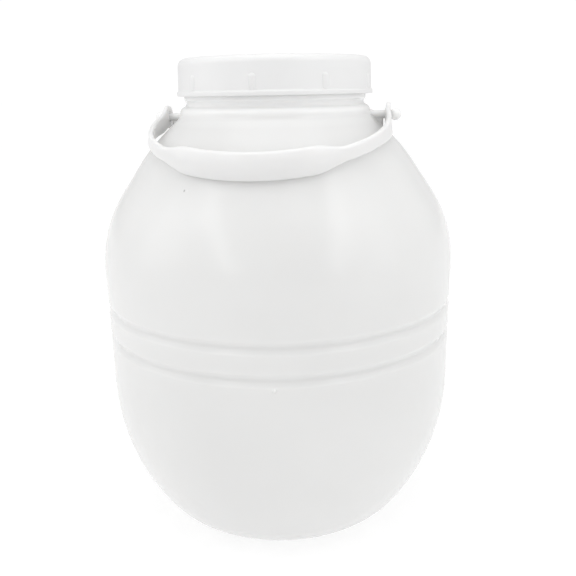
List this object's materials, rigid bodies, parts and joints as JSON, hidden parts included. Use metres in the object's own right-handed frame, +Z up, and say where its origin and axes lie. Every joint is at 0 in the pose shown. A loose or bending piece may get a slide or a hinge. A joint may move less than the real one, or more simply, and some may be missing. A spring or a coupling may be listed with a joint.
{
  "type": "plastic food storage jar with handle",
  "caption": "Large round-shouldered translucent plastic food jar with ringed wall, wide screw lid and swinging carrying handle.",
  "frame": {"origin": "centre of the base, on the surface that the jar stands on", "axes": "+Z up along the jar's axis, X through the two handle lugs, -Y the side where the handle rests"},
  "size_m": [0.2968, 0.2968, 0.3918],
  "materials": {
    "milky_plastic": "soft satin, milky and slightly translucent",
    "lid_plastic": "satin",
    "handle_plastic": "satin"
  },
  "bodies": {
    "container": {"jar_body": "milky_plastic", "lid": "lid_plastic"},
    "handle": {"handle": "handle_plastic"}
  },
  "joints": [
    {"name": "handle_swing", "type": "hinge", "parent": "container", "child": "handle", "pos_m": [0, 0, 0.3462], "axis": [-1, 0, 0], "range_deg": [0, 204]}
  ]
}
